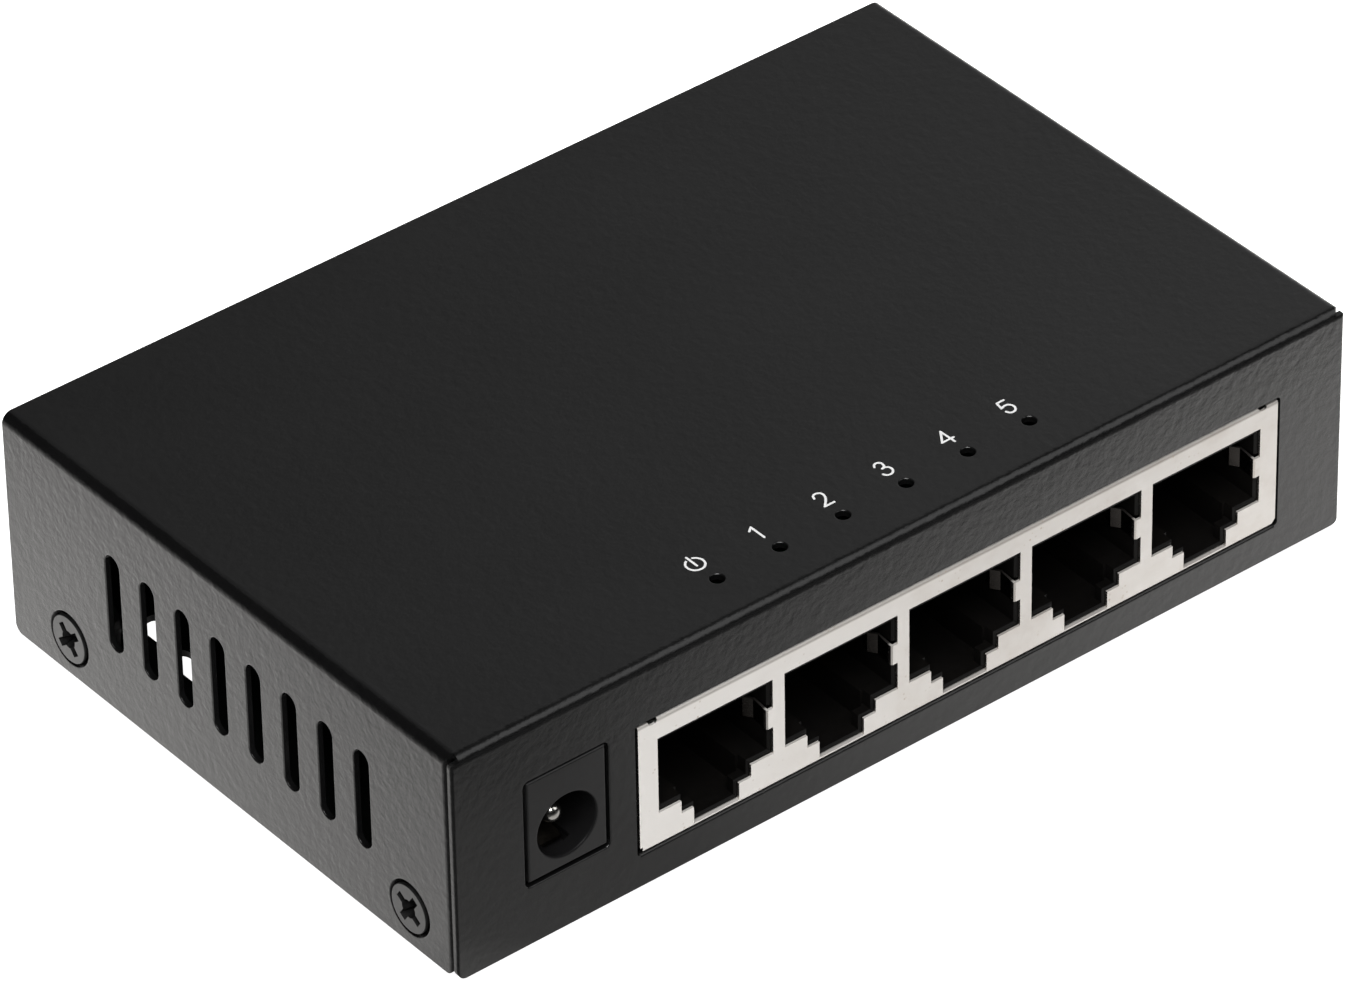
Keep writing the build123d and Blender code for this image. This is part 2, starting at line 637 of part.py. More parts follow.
# ===========================================================================
# Power jack
# ===========================================================================
with BuildPart() as dc_jack_housing:
    with BuildSketch(FRONT):
        with Locations((JC_X, sum(JACK_Z) / 2)):
            Rectangle(JACK_X[1] - JACK_X[0], JACK_Z[1] - JACK_Z[0])
    extrude(amount=-JACK_D)
    with BuildSketch(FRONT):
        with Locations((JC_X, BORE_Z)):
            Circle(BORE_R)
    extrude(amount=-BORE_D, mode=Mode.SUBTRACT)
    rim = dc_jack_housing.edges().filter_by(GeomType.CIRCLE).filter_by(
        lambda e: abs(e.arc_center.Y - YF) < 0.01
    )
    fillet(rim, 0.25)
    with BuildSketch(FRONT):
        with Locations((JC_X, BORE_Z)):
            Circle(PIN_R + 0.01)
    extrude(amount=-(JACK_D + 1), mode=Mode.SUBTRACT)
    # channel under the bore for the leaf contact
    with BuildSketch(Plane.XY.offset(JACK_Z[0] + 0.22)):
        with Locations((JC_X, YF + 7.2)):
            Rectangle(2.9, 11.2)
    extrude(amount=1.65, mode=Mode.SUBTRACT)
    # channels for the terminals
    for tx, ty in TERMINALS:
        with BuildSketch(Plane.XY.offset(JACK_Z[0] + 7.8)):
            with Locations((tx, ty)):
                Rectangle(1.3, 0.5)
        extrude(amount=5, mode=Mode.SUBTRACT)
    # raised outline of the face
    outline = dc_jack_housing.faces().filter_by(Plane.XZ).sort_by(Axis.Y)[0]
    fillet(outline.outer_wire().edges(), 0.2)
finish(dc_jack_housing, "dc_jack_housing")

with BuildPart() as dc_jack_pin:
    with BuildSketch(Plane.XZ.offset(-(YF + PIN_TIP))):
        with Locations((JC_X, BORE_Z)):
            Circle(PIN_R)
    extrude(amount=-(JACK_D - PIN_TIP + 0.4))
    tip = dc_jack_pin.edges().filter_by(GeomType.CIRCLE).sort_by(Axis.Y)[0]
    fillet(tip, 0.94)
finish(dc_jack_pin, "dc_jack_pin")

with BuildPart() as dc_jack_spring:
    with BuildSketch(Plane.YZ.offset(JC_X - 1.15)):
        with BuildLine():
            Polyline(
                (YF + 12.6, Z0 + 6.97),
                (YF + 12.6, Z0 + 7.27),
                (YF + 5.20, Z0 + 7.85),
                (YF + 4.10, Z0 + 8.25),
                (YF + 3.00, Z0 + 7.85),
                (YF + 2.40, Z0 + 7.70),
                (YF + 2.40, Z0 + 7.40),
                (YF + 3.10, Z0 + 7.52),
                (YF + 4.10, Z0 + 7.92),
                (YF + 5.10, Z0 + 7.55),
                close=True,
            )
        make_face()
    extrude(amount=2.3)
finish(dc_jack_spring, "dc_jack_spring")

with BuildPart() as dc_jack_terminals:
    for tx, ty in TERMINALS:
        with BuildSketch(Plane.XY.offset(JACK_Z[0] + 8.0)):
            with Locations((tx, ty)):
                Rectangle(1.2, 0.4)
        extrude(amount=PCB_TOP + 0.7 - JACK_Z[0] - 8.0)
finish(dc_jack_terminals, "dc_jack_terminals")

# ===========================================================================
# Electronics
# ===========================================================================
with BuildPart() as status_leds:
    with BuildSketch(Plane.XY.offset(PCB_TOP)):
        with Locations(*[(x, LED_Y) for x in LED_X]):
            Rectangle(1.25, 2.0)
    extrude(amount=0.35)
    with BuildSketch(Plane.XY.offset(PCB_TOP + 0.35)):
        with Locations(*[(x, LED_Y) for x in LED_X]):
            Rectangle(1.15, 1.2)
    extrude(amount=0.4, taper=8)
finish(status_leds, "status_leds")

CHIP = (4.0, 4.0)
CHIP_S = 14.0
CHIP_Z = PCB_Z - 0.12
with BuildPart() as switch_chip:
    with BuildSketch(Plane.XY.offset(CHIP_Z)):
        with Locations(CHIP):
            Rectangle(CHIP_S, CHIP_S)
    extrude(amount=-1.4)
    chamfer(switch_chip.edges().filter_by(Axis.Z), 0.5)
finish(switch_chip, "switch_chip")

with BuildPart() as chip_leads:
    with BuildSketch(Plane.XY.offset(PCB_Z)):
        for sx in (-1, 1):
            with Locations((CHIP[0] + sx * (CHIP_S / 2 + 0.55), CHIP[1])):
                with GridLocations(0, 0.8, 1, 16):
                    Rectangle(1.0, 0.3)
            with Locations((CHIP[0], CHIP[1] + sx * (CHIP_S / 2 + 0.55))):
                with GridLocations(0.8, 0, 16, 1):
                    Rectangle(0.3, 1.0)
    extrude(amount=-0.7)
finish(chip_leads, "switch_chip_leads")

with BuildPart() as thermal_pad:
    with BuildSketch(Plane.XY.offset(CHIP_Z - 1.4)):
        with Locations(CHIP):
            Rectangle(12.5, 12.5)
    extrude(amount=-0.5)
finish(thermal_pad, "thermal_pad")

SINK_Z = CHIP_Z - 1.9
with BuildPart() as heat_sink:
    with BuildSketch(Plane.XY.offset(SINK_Z)):
        with Locations(CHIP):
            Rectangle(20, 20)
    extrude(amount=-6.5)
    with BuildSketch(Plane.XY.offset(SINK_Z - 1.5)):
        with Locations(CHIP):
            with GridLocations(3.2, 0, 6, 1):
                Rectangle(2.0, 24)
    extrude(amount=-6, mode=Mode.SUBTRACT)
finish(heat_sink, "heat_sink")

with BuildPart() as lan_transformers:
    with BuildSketch(Plane.XY.offset(PCB_Z - 0.2)):
        with Locations(*[(px, -9.4) for px in PORT_X[:4]], (PORT_X[4] - 4.2, -9.4)):
            Rectangle(9.4, 6.6)
    extrude(amount=-4.6)
    chamfer(lan_transformers.edges().group_by(Axis.Z)[0], 0.35)
finish(lan_transformers, "lan_transformers")

with BuildPart() as capacitors:
    with BuildSketch(Plane.XY.offset(PCB_Z)):
        with Locations((-20.0, 14.5), (-12.0, 20.5)):
            Rectangle(6.6, 6.6)
    extrude(amount=-0.8)
    with BuildSketch(Plane.XY.offset(PCB_Z - 0.8)):
        with Locations((-20.0, 14.5), (-12.0, 20.5)):
            Circle(3.15)
    extrude(amount=-7.0)
    fillet(capacitors.edges().group_by(Axis.Z)[0], 0.5)
finish(capacitors, "electrolytic_capacitors")

with BuildPart() as inductor:
    with BuildSketch(Plane.XY.offset(PCB_Z)):
        with Locations((-21.0, 4.5)):
            RectangleRounded(6.8, 6.8, 1.4)
    extrude(amount=-3.6)
finish(inductor, "power_inductor")

with BuildPart() as crystal:
    with BuildSketch(Plane.XY.offset(PCB_Z)):
        with Locations((19.5, 19.0)):
            SlotOverall(11.2, 4.6)
    extrude(amount=-3.5)
    fillet(crystal.edges().group_by(Axis.Z)[0], 0.4)
finish(crystal, "crystal")

with BuildPart() as regulator:
    with BuildSketch(Plane.XY.offset(PCB_Z - 0.1)):
        with Locations((-30.0, 4.5)):
            Rectangle(4.9, 3.9)
    extrude(amount=-1.5)
    chamfer(regulator.edges().group_by(Axis.Z)[0], 0.2)
finish(regulator, "buck_regulator")

with BuildPart() as flash:
    with BuildSketch(Plane.XY.offset(PCB_Z - 0.1)):
        with Locations((26.0, 6.0)):
            Rectangle(5.3, 5.2)
    extrude(amount=-1.8)
    chamfer(flash.edges().group_by(Axis.Z)[0], 0.2)
finish(flash, "flash_memory")

with BuildPart() as diode:
    with BuildSketch(Plane.XY.offset(PCB_Z)):
        with Locations((-31.0, -6.0)):
            Rectangle(2.6, 4.4)
    extrude(amount=-2.2)
    chamfer(diode.edges().group_by(Axis.Z)[0], 0.3)
finish(diode, "input_diode")

with BuildPart() as smd_capacitors:
    with BuildSketch(Plane.XY.offset(PCB_Z)):
        with Locations((-26.0, 12.0), (-26.0, 16.5), (-14.0, 3.0), (-14.0, 6.5)):
            Rectangle(2.0, 1.25)
        with Locations((18.5, 0.0), (18.5, 4.0), (18.5, 8.0), (22.5, 12.0)):
            Rectangle(1.25, 2.0)
        with Locations((-2.0, 17.5), (2.5, 17.5), (7.0, 17.5), (11.5, 14.8)):
            Rectangle(2.0, 1.25)
    extrude(amount=-1.1)
finish(smd_capacitors, "smd_capacitors")

with BuildPart() as smd_resistors:
    with BuildSketch(Plane.XY.offset(PCB_TOP)):
        with Locations(*[(x, LED_Y + 4.0) for x in LED_X]):
            Rectangle(0.85, 1.6)
        with Locations((0.0, 6.0), (3.0, 6.0), (6.0, 6.0), (9.0, 6.0), (12.0, 9.0)):
            Rectangle(0.85, 1.6)
        with Locations((-18.0, 8.0), (-18.0, 11.0), (24.0, 2.0), (24.0, 5.0)):
            Rectangle(1.6, 0.85)
    extrude(amount=0.5)
finish(smd_resistors, "smd_resistors")
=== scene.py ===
import math

import bmesh
import bpy
from mathutils import Matrix, Vector


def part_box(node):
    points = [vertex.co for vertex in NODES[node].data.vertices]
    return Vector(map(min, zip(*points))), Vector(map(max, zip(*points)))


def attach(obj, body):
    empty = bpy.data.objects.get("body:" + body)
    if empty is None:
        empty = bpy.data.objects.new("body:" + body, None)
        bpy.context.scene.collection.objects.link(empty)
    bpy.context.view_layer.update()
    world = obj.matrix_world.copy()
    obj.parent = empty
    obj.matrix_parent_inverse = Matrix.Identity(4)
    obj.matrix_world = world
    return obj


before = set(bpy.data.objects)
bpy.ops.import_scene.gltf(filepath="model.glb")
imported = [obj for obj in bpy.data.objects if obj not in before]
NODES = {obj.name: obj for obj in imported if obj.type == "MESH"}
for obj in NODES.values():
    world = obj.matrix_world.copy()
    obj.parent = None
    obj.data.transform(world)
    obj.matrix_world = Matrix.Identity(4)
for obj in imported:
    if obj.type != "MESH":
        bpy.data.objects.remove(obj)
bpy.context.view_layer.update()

MM = 0.001
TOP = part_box("top_cover")[1].z  # outside of the case's top


# ---------------------------------------------------------------------------
# Material tools
# ---------------------------------------------------------------------------
class Mat:
    """A procedural node material built round one Principled shader."""

    def __init__(self, name):
        self.m = bpy.data.materials.new(name)
        self.m.use_nodes = True
        self.t = self.m.node_tree
        self.t.nodes.clear()
        self.out = self.t.nodes.new("ShaderNodeOutputMaterial")
        self.p = self.t.nodes.new("ShaderNodeBsdfPrincipled")
        self.t.links.new(self.p.outputs[0], self.out.inputs[0])
        self.co = self.t.nodes.new("ShaderNodeTexCoord").outputs["Object"]

    def n(self, kind, **values):
        node = self.t.nodes.new(kind)
        for k, v in values.items():
            if hasattr(node, k) and k not in node.inputs:
                setattr(node, k, v)
            else:
                node.inputs[k].default_value = v
        return node

    def link(self, a, b):
        self.t.links.new(a, b)
        return b

    def set(self, **values):
        for k, v in values.items():
            self.p.inputs[k.replace("_", " ")].default_value = v

    def mapped(self, scale=(1, 1, 1), turn=(0, 0, 0)):
        node = self.n("ShaderNodeMapping")
        node.inputs["Scale"].default_value = scale
        node.inputs["Rotation"].default_value = turn
        self.link(self.co, node.inputs["Vector"])
        return node.outputs[0]

    def noise(self, scale, detail=2.0, rough=0.5, vector=None, distortion=0.0):
        node = self.n("ShaderNodeTexNoise")
        node.inputs["Scale"].default_value = scale
        node.inputs["Detail"].default_value = detail
        node.inputs["Roughness"].default_value = rough
        node.inputs["Distortion"].default_value = distortion
        self.link(vector or self.co, node.inputs["Vector"])
        return node.outputs["Fac"]

    def voronoi(self, scale, feature="F1", vector=None):
        node = self.n("ShaderNodeTexVoronoi")
        node.feature = feature
        node.inputs["Scale"].default_value = scale
        self.link(vector or self.co, node.inputs["Vector"])
        return node.outputs["Distance"]

    def ramp(self, fac, stops, smooth=True):
        node = self.n("ShaderNodeValToRGB")
        ramp = node.color_ramp
        ramp.interpolation = "EASE" if smooth else "LINEAR"
        while len(ramp.elements) < len(stops):
            ramp.elements.new(0.5)
        for e, (pos, col) in zip(ramp.elements, stops):
            e.position = pos
            e.color = (*col, 1.0) if len(col) == 3 else col
        self.link(fac, node.inputs["Fac"])
        return node.outputs["Color"]

    def span(self, fac, a, b, lo, hi):
        node = self.n("ShaderNodeMapRange")
        node.inputs["From Min"].default_value = a
        node.inputs["From Max"].default_value = b
        node.inputs["To Min"].default_value = lo
        node.inputs["To Max"].default_value = hi
        self.link(fac, node.inputs["Value"])
        return node.outputs["Result"]

    def mix(self, fac, a, b, blend="MIX"):
        node = self.n("ShaderNodeMix")
        node.data_type = "RGBA"
        node.blend_type = blend
        for value, sock in ((fac, node.inputs[0]), (a, node.inputs[6]), (b, node.inputs[7])):
            if isinstance(value, (int, float)):
                sock.default_value = value
            elif isinstance(value, tuple):
                sock.default_value = (*value, 1.0)
            else:
                self.link(value, sock)
        return node.outputs[2]

    def math(self, op, a, b=0.0):
        node = self.n("ShaderNodeMath")
        node.operation = op
        for value, sock in ((a, node.inputs[0]), (b, node.inputs[1])):
            if isinstance(value, (int, float)):
                sock.default_value = value
            else:
                self.link(value, sock)
        return node.outputs[0]

    def bump(self, height, distance, strength=1.0, under=None):
        node = self.n("ShaderNodeBump")
        node.inputs["Strength"].default_value = strength
        node.inputs["Distance"].default_value = distance
        self.link(height, node.inputs["Height"])
        if under is not None:
            self.link(under, node.inputs["Normal"])
        return node.outputs[0]

    def xyz(self, source=None):
        node = self.n("ShaderNodeSeparateXYZ")
        self.link(source or self.co, node.inputs[0])
        return [node.outputs[i] for i in range(3)]

    def facing(self, axis):
        """How squarely the surface faces along one axis, 0 to 1."""
        return self.math("ABSOLUTE", self.xyz(self.n("ShaderNodeNewGeometry").outputs["True Normal"])[axis])

    def near_line(self, a, ca, b, cb, r):
        """1 within r millimetres of a line, 0 outside it."""
        da = self.math("SUBTRACT", self.math("MULTIPLY", a, 1000.0), ca)
        db = self.math("SUBTRACT", self.math("MULTIPLY", b, 1000.0), cb)
        d = self.math("SQRT", self.math("ADD", self.math("MULTIPLY", da, da), self.math("MULTIPLY", db, db)))
        return self.span(d, r - 0.05, r, 1.0, 0.0)

    def specular(self, out):
        self.link(out, self.p.inputs["Specular IOR Level"])

    def colour(self, out):
        self.link(out, self.p.inputs["Base Color"])

    def rough(self, out):
        self.link(out, self.p.inputs["Roughness"])

    def normal(self, out):
        self.link(out, self.p.inputs["Normal"])


def assign(material, *names):
    for name in names:
        mesh = NODES[name].data
        mesh.materials.clear()
        mesh.materials.append(material.m)


# ---------------------------------------------------------------------------
# Materials
# ---------------------------------------------------------------------------
def powder(name, dark=0.0034, light=0.0052, rough=0.25, peel=1.0):
    """Black powder coat: orange peel about half a millimetre across, with a finer grain."""
    m = Mat(name)
    broad = m.noise(55, 3.0, 0.55)
    grain = m.noise(2600, 2.0, 0.6)
    tone = m.math("ADD", m.math("MULTIPLY", broad, 0.65), m.math("MULTIPLY", grain, 0.35))
    m.colour(m.ramp(tone, [(0.30, (dark, dark, dark * 1.01)), (0.70, (light, light, light * 1.01))]))
    if name == "powder_coat":
        x, y, z = m.xyz()
        # Painted shade: the specular level drops almost to nothing in the screw recesses and on the inner walls of the
        # side slots, so they read dark.
        recess_shade = m.math("MAXIMUM", m.near_line(y, 23.55, z, 4.9, 2.80), m.near_line(y, -25.3, z, 4.9, 2.80))
        slot_wall_shade = m.math("MULTIPLY", m.span(m.math("ABSOLUTE", x), 0.0490, 0.0493, 0.0, 1.0), m.span(m.facing(0), 0.35, 0.60, 1.0, 0.0))
        run = m.math("MULTIPLY", m.span(y, -0.0208, -0.0206, 0.0, 1.0), m.span(y, 0.0178, 0.0180, 1.0, 0.0))
        rise = m.math("MULTIPLY", m.span(z, 0.0075, 0.0077, 0.0, 1.0), m.span(z, 0.0184, 0.0186, 1.0, 0.0))
        slot_shade = m.math("MULTIPLY", slot_wall_shade, m.math("MULTIPLY", run, rise))
        m.specular(m.span(m.math("MAXIMUM", recess_shade, slot_shade), 0.0, 1.0, 0.5, 0.04))
    else:
        # Faces below 1.8 mm that do not face up or down get a much lower specular level, so the bottom of the tray is
        # darker.
        low = m.span(m.xyz()[2], 0.00175, 0.00180, 1.0, 0.0)
        low_sideways = m.math("MULTIPLY", low, m.span(m.facing(2), 0.30, 0.60, 1.0, 0.0))
        m.specular(m.span(low_sideways, 0.0, 1.0, 0.5, 0.03))
    lumps = m.noise(1150, 2.5, 0.55)
    fine = m.noise(3600, 2.0, 0.6)
    m.rough(m.span(m.math("ADD", m.math("MULTIPLY", lumps, 0.5), m.math("MULTIPLY", broad, 0.5)), 0.3, 0.7, rough - 0.012, rough + 0.016))
    m.normal(m.bump(fine, 0.000012 * peel, 0.6, m.bump(lumps, 0.000068 * peel, 0.85)))
    m.set(IOR=1.5)
    return m


paint = powder("powder_coat")
assign(paint, "top_cover")
assign(powder("powder_coat_base", 0.0034, 0.0052, 0.30), "base_tray")


def make_shield():
    """Plated sheet: soft cloudy tone, fine brushing, brown tarnish specks, painted shade along the fold line and on the
    inner faces, and a painted highlight towards the left end.
    """
    m = Mat("nickel_shield")
    brushed = m.noise(900, 3.0, 0.6, m.mapped((0.25, 1.0, 2.2)))
    cloud = m.noise(260, 4.0, 0.6)
    speck = m.voronoi(1500)
    pit = m.span(speck, 0.05, 0.22, 0.8, 0.0)
    where = m.span(m.noise(420, 2.0, 0.5), 0.55, 0.70, 0.0, 1.0)
    dirt = m.math("MULTIPLY", pit, where)
    base = m.ramp(cloud, [(0.25, (0.465, 0.432, 0.40)), (0.55, (0.52, 0.495, 0.468)), (0.80, (0.56, 0.538, 0.515))])
    split = m.n("ShaderNodeSeparateXYZ")
    m.link(m.co, split.inputs[0])
    # Painted highlight: the plate's colour is lighter towards the left end, standing in for the brighter light there.
    left_end_light = m.span(split.outputs[0], -0.031, 0.010, 1.0, 0.0)
    base = m.mix(left_end_light, base, (0.69, 0.665, 0.635))
    high = m.math("MULTIPLY", split.outputs[2], 1000.0)
    # Painted shade: a darker band along the fold line near 18 mm height.
    fold = m.math("MULTIPLY", m.span(high, 17.80, 17.98, 0.0, 0.55), m.span(high, 18.02, 18.22, 1.0, 0.35))
    base = m.mix(fold, base, (0.16, 0.14, 0.12))
    base = m.mix(dirt, base, (0.30, 0.22, 0.15))
    # Painted shade: the shield's faces inside the port, behind the front plate, are coloured almost black.
    inside_shade = m.math("MULTIPLY", m.span(split.outputs[1], -0.0316, -0.0313, 0.0, 1.0), m.span(m.facing(1), 0.80, 0.93, 1.0, 0.0))
    m.colour(m.mix(inside_shade, base, (0.035, 0.032, 0.030)))
    bent_back = m.span(m.facing(0), 0.35, 0.60, 1.0, 0.55)
    m.rough(m.math("MULTIPLY", bent_back, m.span(m.math("ADD", m.math("MULTIPLY", brushed, 0.6), m.math("MULTIPLY", cloud, 0.4)), 0.25, 0.75, 0.42, 0.58)))
    m.normal(m.bump(m.math("ADD", brushed, m.math("MULTIPLY", cloud, 0.6)), 0.000014, 0.7))
    bent = m.span(m.facing(0), 0.35, 0.60, 0.0, 1.0)
    m.link(m.span(bent, 0.0, 1.0, 0.4, 1.0), m.p.inputs["Metallic"])
    return m


shield = make_shield()
assign(shield, "rj45_front_shell", "rj45_rear_shell")


def plastic(name, colour=(0.010, 0.010, 0.010), rough=0.5, grain=2200, depth=0.000010, ior=1.5):
    m = Mat(name)
    m.set(IOR=ior)
    cloud = m.noise(180, 3.0, 0.55)
    c = colour
    m.colour(m.ramp(cloud, [(0.3, tuple(v * 0.8 for v in c)), (0.7, tuple(min(1, v * 1.25) for v in c))]))
    g = m.noise(grain, 2.0, 0.6)
    m.rough(m.span(g, 0.3, 0.7, rough - 0.05, rough + 0.07))
    m.normal(m.bump(g, depth, 0.7))
    return m


assign(plastic("jack_nylon", (0.0020, 0.0017, 0.0015), 0.50, ior=1.25), "rj45_housing", "rj45_contact_carriers")
jack_body = plastic("power_jack_plastic", (0.0055, 0.0054, 0.0056), 0.38, 1600)
jx, jy, jz = jack_body.xyz()
# Painted shade: the specular level falls almost to nothing inside the barrel bore, so it reads dark.
bore_shade = jack_body.math("MULTIPLY", jack_body.near_line(jx, -38.05, jz, 11.86, 3.60), jack_body.span(jack_body.facing(1), 0.80, 0.97, 1.0, 0.0))
jack_body.specular(jack_body.span(bore_shade, 0.0, 1.0, 0.5, 0.06))
assign(jack_body, "dc_jack_housing")


def metal(name, dark, light, rough, streak=(1, 1, 1), scale=700, depth=0.000005):
    m = Mat(name)
    s = m.noise(scale, 3.0, 0.6, m.mapped(streak))
    m.colour(m.ramp(s, [(0.3, dark), (0.7, light)]))
    m.rough(m.span(s, 0.3, 0.7, rough - 0.06, rough + 0.08))
    m.normal(m.bump(s, depth, 0.6))
    m.set(Metallic=1.0)
    return m


gold = metal("gold_contacts", (0.78, 0.56, 0.24), (0.95, 0.76, 0.42), 0.22, (1, 1, 1), 1500)
assign(gold, "rj45_contact_tails", *["port_%d_contacts" % i for i in range(1, 6)])
assign(metal("nickel_pin", (0.66, 0.64, 0.60), (0.86, 0.84, 0.80), 0.18, (1, 0.2, 1)), "dc_jack_pin", "dc_jack_terminals")
# Painted shade: the spring deep in the bore gets a near-black metal colour.
assign(metal("spring_in_painted_shade", (0.020, 0.018, 0.015), (0.045, 0.040, 0.034), 0.45), "dc_jack_spring")
assign(metal("nickel_hardware", (0.36, 0.35, 0.33), (0.52, 0.51, 0.49), 0.32), "pcb_screws", "pcb_standoffs")
assign(metal("tinned_leads", (0.55, 0.55, 0.54), (0.75, 0.75, 0.74), 0.35), "switch_chip_leads")
assign(metal("capacitor_cans", (0.60, 0.60, 0.60), (0.78, 0.78, 0.78), 0.30, (1, 1, 0.2)), "electrolytic_capacitors", "crystal")
assign(metal("anodised_sink", (0.16, 0.16, 0.17), (0.26, 0.26, 0.27), 0.42, (0.3, 1, 1)), "heat_sink")


def make_screw():
    m = Mat("black_oxide_screws")
    turned = m.noise(1500, 3.0, 0.6)
    m.colour(m.ramp(turned, [(0.3, (0.006, 0.006, 0.006)), (0.7, (0.011, 0.011, 0.011))]))
    m.rough(m.span(turned, 0.3, 0.7, 0.30, 0.44))
    m.normal(m.bump(m.noise(2600, 2.0, 0.6), 0.000015, 0.6))
    m.set(IOR=1.55)
    # Painted shade: the specular level drops almost to nothing on the head's sides and down in the cross recess, so
    # they read dark.
    side = m.span(m.facing(0), 0.80, 0.97, 1.0, 0.0)
    cross_recess_shade = m.span(m.math("ABSOLUTE", m.xyz()[0]), 0.04985, 0.05005, 1.0, 0.0)
    m.specular(m.span(m.math("MAXIMUM", side, cross_recess_shade), 0.0, 1.0, 0.5, 0.03))
    return m


assign(make_screw(), "cover_screws")


def make_rubber():
    m = Mat("rubber_feet")
    grain = m.noise(2400, 3.0, 0.65)
    m.colour(m.ramp(m.noise(350, 3.0), [(0.3, (0.010, 0.010, 0.010)), (0.7, (0.022, 0.022, 0.022))]))
    m.rough(m.span(grain, 0.3, 0.7, 0.68, 0.86))
    m.normal(m.bump(grain, 0.00002, 0.8))
    return m


assign(make_rubber(), "rubber_feet")


def make_board():
    m = Mat("solder_mask")
    traces = m.n("ShaderNodeTexBrick")
    traces.inputs["Scale"].default_value = 260
    traces.inputs["Mortar Size"].default_value = 0.012
    traces.inputs["Color1"].default_value = (0.008, 0.075, 0.030, 1)
    traces.inputs["Color2"].default_value = (0.010, 0.095, 0.038, 1)
    traces.inputs["Mortar"].default_value = (0.016, 0.15, 0.06, 1)
    m.link(m.co, traces.inputs["Vector"])
    cloud = m.noise(140, 3.0, 0.5)
    m.colour(m.mix(m.span(cloud, 0.3, 0.7, 0.0, 0.35), traces.outputs["Color"], (0.006, 0.05, 0.02)))
    m.rough(m.span(m.noise(900, 2.0), 0.3, 0.7, 0.25, 0.38))
    m.normal(m.bump(traces.outputs["Fac"], 0.00002, 0.5))
    return m


assign(make_board(), "pcb")
assign(plastic("chip_epoxy", (0.016, 0.016, 0.017), 0.55, 3000), "switch_chip", "lan_transformers", "buck_regulator", "flash_memory", "input_diode", "power_inductor", "smd_resistors")
assign(plastic("ceramic_chips", (0.38, 0.27, 0.16), 0.40, 2600), "smd_capacitors")
assign(plastic("thermal_pad", (0.22, 0.25, 0.30), 0.75, 1800), "thermal_pad")


def make_led():
    m = Mat("led_lens")
    cloud = m.noise(900, 2.0)
    m.colour(m.ramp(cloud, [(0.3, (0.50, 0.52, 0.46)), (0.7, (0.66, 0.68, 0.60))]))
    m.rough(m.span(cloud, 0.3, 0.7, 0.22, 0.35))
    return m


assign(make_led(), "status_leds")


# ---------------------------------------------------------------------------
# Printed marks: numerals 1 to 5 and the power symbol, thin raised ink
# ---------------------------------------------------------------------------
LED_X = (-17.29, -10.36, -3.33, 3.76, 10.75, 17.77)
MARK_Y = -23.9
INK = 0.018


def smooth(points, steps=6):
    """A Catmull-Rom line through the points."""
    if len(points) < 3:
        return [Vector(p) for p in points]
    v = [Vector(p) for p in points]
    v = [2 * v[0] - v[1]] + v + [2 * v[-1] - v[-2]]
    line = []
    for i in range(1, len(v) - 2):
        for s in range(steps):
            t = s / steps
            a, b, c, d = v[i - 1 : i + 3]
            line.append(
                0.5 * ((2 * b) + (c - a) * t + (2 * a - 5 * b + 4 * c - d) * t * t + (3 * b - a - 3 * c + d) * t**3)
            )
    line.append(v[-2])
    return line


def stroke(bm, line, width, z0, z1, matrix):
    """A closed ribbon with round ends along a flat line, between two heights."""
    half, left, right = width / 2, [], []
    for i, p in enumerate(line):
        a = line[max(0, i - 1)]
        b = line[min(len(line) - 1, i + 1)]
        d1 = (p - a).normalized() if i else (b - p).normalized()
        d2 = (b - p).normalized() if i < len(line) - 1 else d1
        d = (d1 + d2).normalized()
        k = 1.0 / max(0.45, d.dot(d1))
        nrm = Vector((-d.y, d.x)) * half * k
        left.append(p + nrm)
        right.append(p - nrm)
    cap = []
    d = (line[-1] - line[-2]).normalized()
    base = math.atan2(d.y, d.x)
    for s in range(1, 8):
        t = base + math.pi / 2 - math.pi * s / 8
        cap.append(line[-1] + Vector((math.cos(t), math.sin(t))) * half)
    tail = []
    d = (line[0] - line[1]).normalized()
    base = math.atan2(d.y, d.x)
    for s in range(1, 8):
        t = base + math.pi / 2 - math.pi * s / 8
        tail.append(line[0] + Vector((math.cos(t), math.sin(t))) * half)
    n = len(line)

    def ring(z, shrink=1.0):
        def put(q, c):
            w = c + (q - c) * shrink
            return bm.verts.new(matrix @ Vector((w.x, w.y, z)))
        return (
            [put(q, line[i]) for i, q in enumerate(left)],
            [put(q, line[-1]) for q in cap],
            [put(q, line[i]) for i, q in enumerate(right)],
            [put(q, line[0]) for q in tail],
        )

    low = ring(z0)
    top = ring(z1, 0.90)
    loops = []
    for L, C, R, T in (low, top):
        loops.append(L + C + R[::-1] + T)
    m = len(loops[0])
    for i in range(m):
        j = (i + 1) % m
        bm.faces.new((loops[0][j], loops[0][i], loops[1][i], loops[1][j]))
    for (L, C, R, T), up in ((low, False), (top, True)):
        for i in range(n - 1):
            f = (L[i], R[i], R[i + 1], L[i + 1])
            bm.faces.new(f if up else f[::-1])
        f = [L[-1], R[-1]] + C[::-1]
        bm.faces.new(f if up else f[::-1])
        f = [R[0], L[0]] + T[::-1]
        bm.faces.new(f if up else f[::-1])


def arc(cx, cy, r, a0, a1, steps=40):
    return [
        Vector((cx + r * math.cos(math.radians(a0 + (a1 - a0) * i / steps)), cy + r * math.sin(math.radians(a0 + (a1 - a0) * i / steps))))
        for i in range(steps + 1)
    ]


